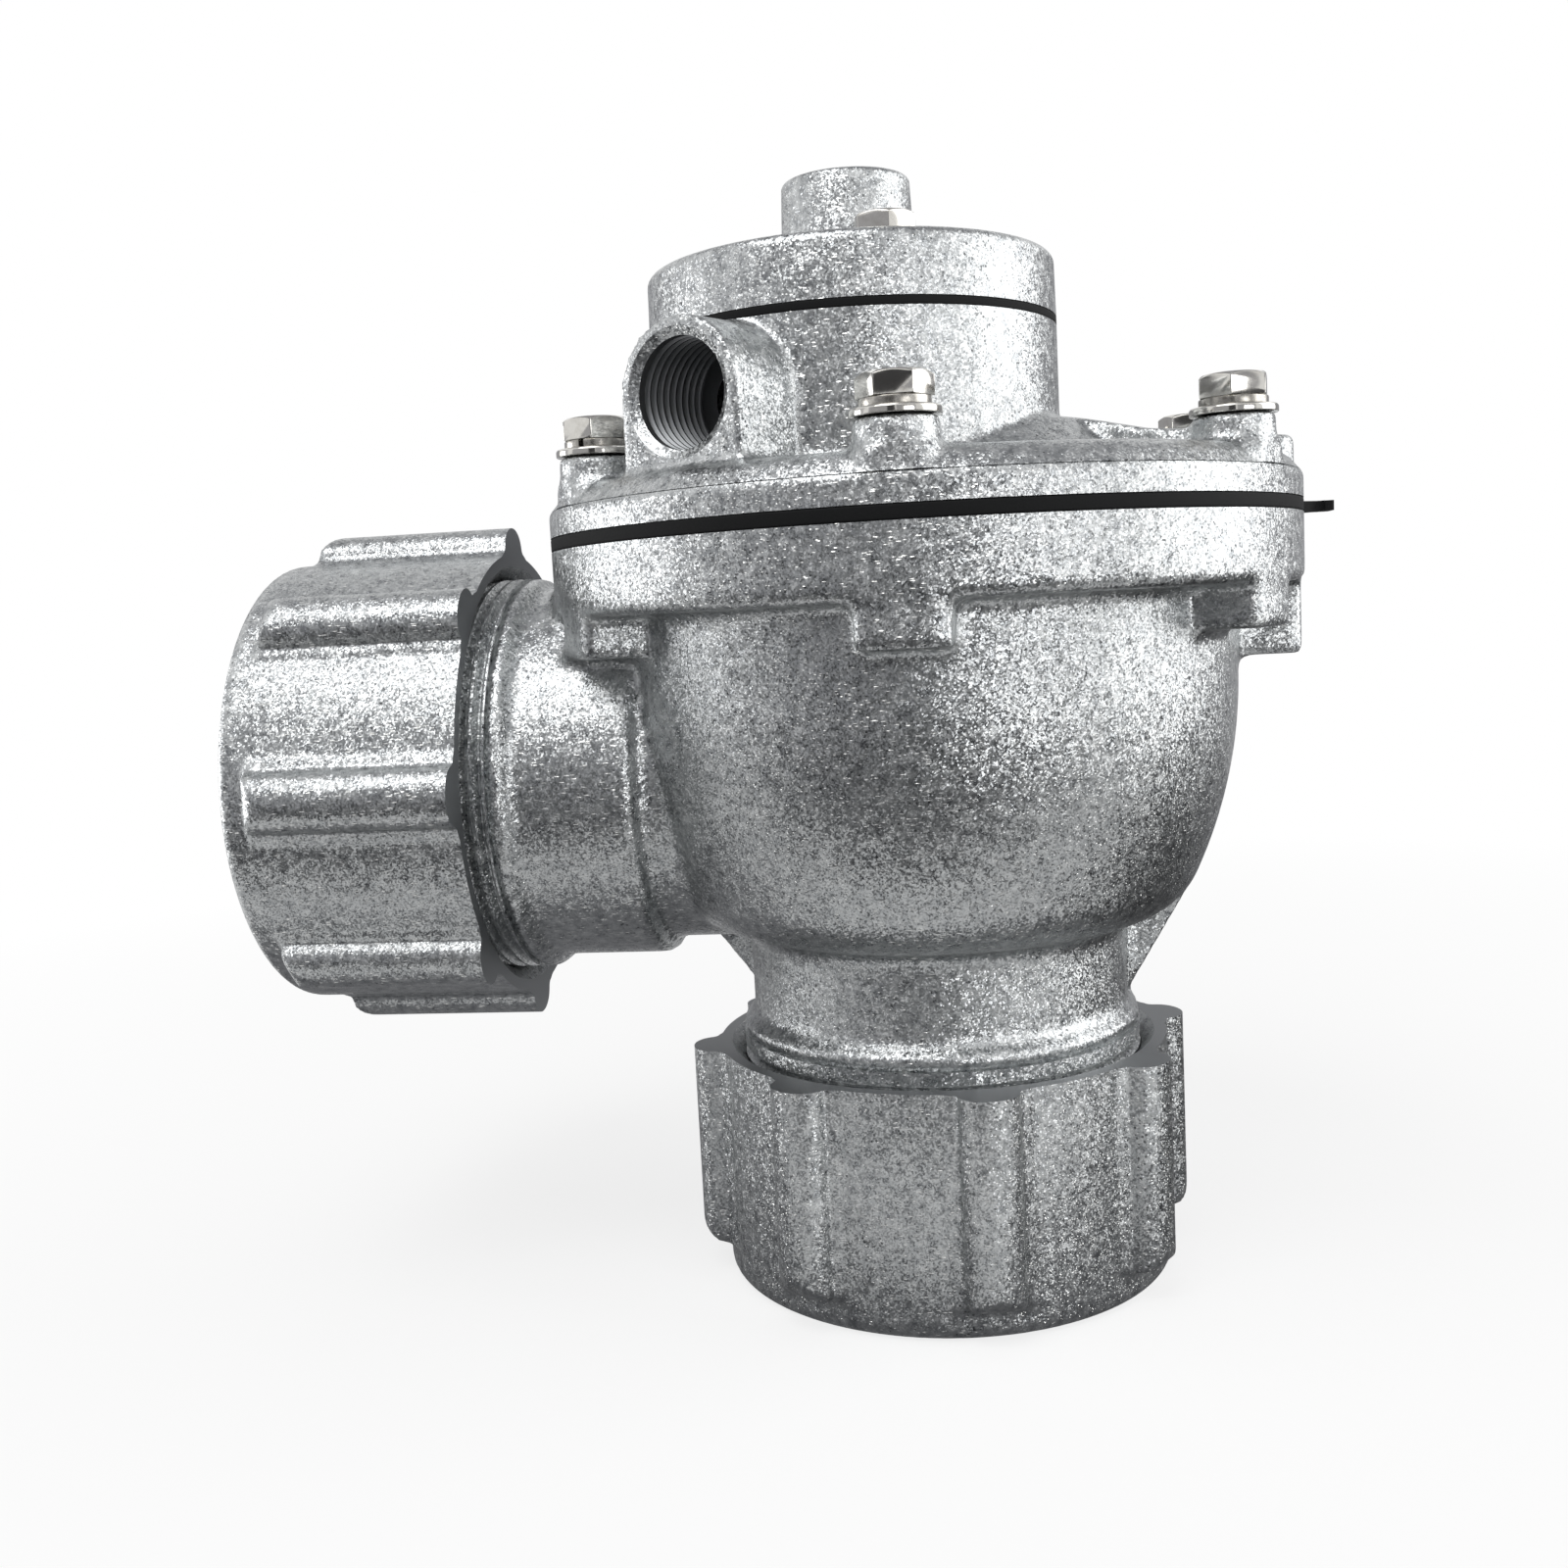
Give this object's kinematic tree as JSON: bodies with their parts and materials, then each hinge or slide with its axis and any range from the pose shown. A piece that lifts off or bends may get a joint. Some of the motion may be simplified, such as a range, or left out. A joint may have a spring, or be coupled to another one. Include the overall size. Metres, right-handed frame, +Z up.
{
  "type": "pulse jet diaphragm valve",
  "caption": "Right-angle pulse jet valve: cast body with bowl, bonnet and pilot chamber over two diaphragms, ribbed compression nuts on inlet and outlet.",
  "frame": {"origin": "centre of the pipe hole in the outlet nut's end face, on which the valve stands", "axes": "+Z up the main axis towards the bonnet, -X out of the inlet, -Y the side with the exhaust port"},
  "size_m": [0.1668, 0.116, 0.1701],
  "materials": {
    "cast_aluminium": "raw die cast, tumbled",
    "nitrile_rubber": "moulded, matte",
    "stainless_steel": "cold headed, bright",
    "spring_steel": "ground and plated",
    "zinc_plated_steel": "zinc plated"
  },
  "bodies": {
    "valve": {"valve_body": "cast_aluminium", "bonnet": "cast_aluminium", "pilot_cap": "cast_aluminium", "main_diaphragm": "nitrile_rubber", "main_spring": "spring_steel", "pilot_diaphragm": "nitrile_rubber", "pilot_spring": "spring_steel", "flange_washers": "stainless_steel", "flange_spring_washers": "spring_steel", "flange_bolts": "stainless_steel", "cap_bolts": "stainless_steel", "outlet_gland_seal": "nitrile_rubber", "inlet_gland_seal": "nitrile_rubber"},
    "main_lifter": {"main_support_disc": "zinc_plated_steel", "main_clamp_disc": "zinc_plated_steel", "main_screw": "stainless_steel", "main_nut": "stainless_steel"},
    "pilot_lifter": {"pilot_support_disc": "zinc_plated_steel", "pilot_clamp_disc": "zinc_plated_steel", "pilot_rivet": "stainless_steel"},
    "outlet_ring": {"outlet_slip_ring": "zinc_plated_steel"},
    "outlet_turner": {"outlet_nut": "cast_aluminium"},
    "inlet_ring": {"inlet_slip_ring": "zinc_plated_steel"},
    "inlet_turner": {"inlet_nut": "cast_aluminium"}
  },
  "joints": [
    {"name": "main_lift", "type": "slide", "parent": "valve", "child": "main_lifter", "axis": [0, 0, 1], "range_m": [0, 0.0095], "stiffness_N_per_m": 400, "springref_m": -0.012, "deforming": ["main_spring", "main_diaphragm"]},
    {"name": "pilot_lift", "type": "slide", "parent": "valve", "child": "pilot_lifter", "axis": [0, 0, 1], "range_m": [0, 0.0035], "stiffness_N_per_m": 200, "springref_m": -0.006, "deforming": ["pilot_spring", "pilot_diaphragm"]},
    {"name": "outlet_nut_travel", "type": "slide", "parent": "valve", "child": "outlet_ring", "axis": [0, 0, -1], "range_m": [0, 0.00601]},
    {"name": "outlet_nut_turn", "type": "hinge", "parent": "outlet_ring", "child": "outlet_turner", "pos_m": [0, 0, 0], "axis": [0, 0, -1], "range_deg": [0, 1080]},
    {"name": "inlet_nut_travel", "type": "slide", "parent": "valve", "child": "inlet_ring", "axis": [-1, 0, 0], "range_m": [0, 0.00601]},
    {"name": "inlet_nut_turn", "type": "hinge", "parent": "inlet_ring", "child": "inlet_turner", "pos_m": [-0.1038, 0, 0.0816], "axis": [-1, 0, 0], "range_deg": [0, 1080]}
  ],
  "couplings": [
    {"joint": "outlet_nut_travel", "follows": "outlet_nut_turn", "m_per_rad": 0.00031831},
    {"joint": "inlet_nut_travel", "follows": "inlet_nut_turn", "m_per_rad": 0.00031831}
  ]
}
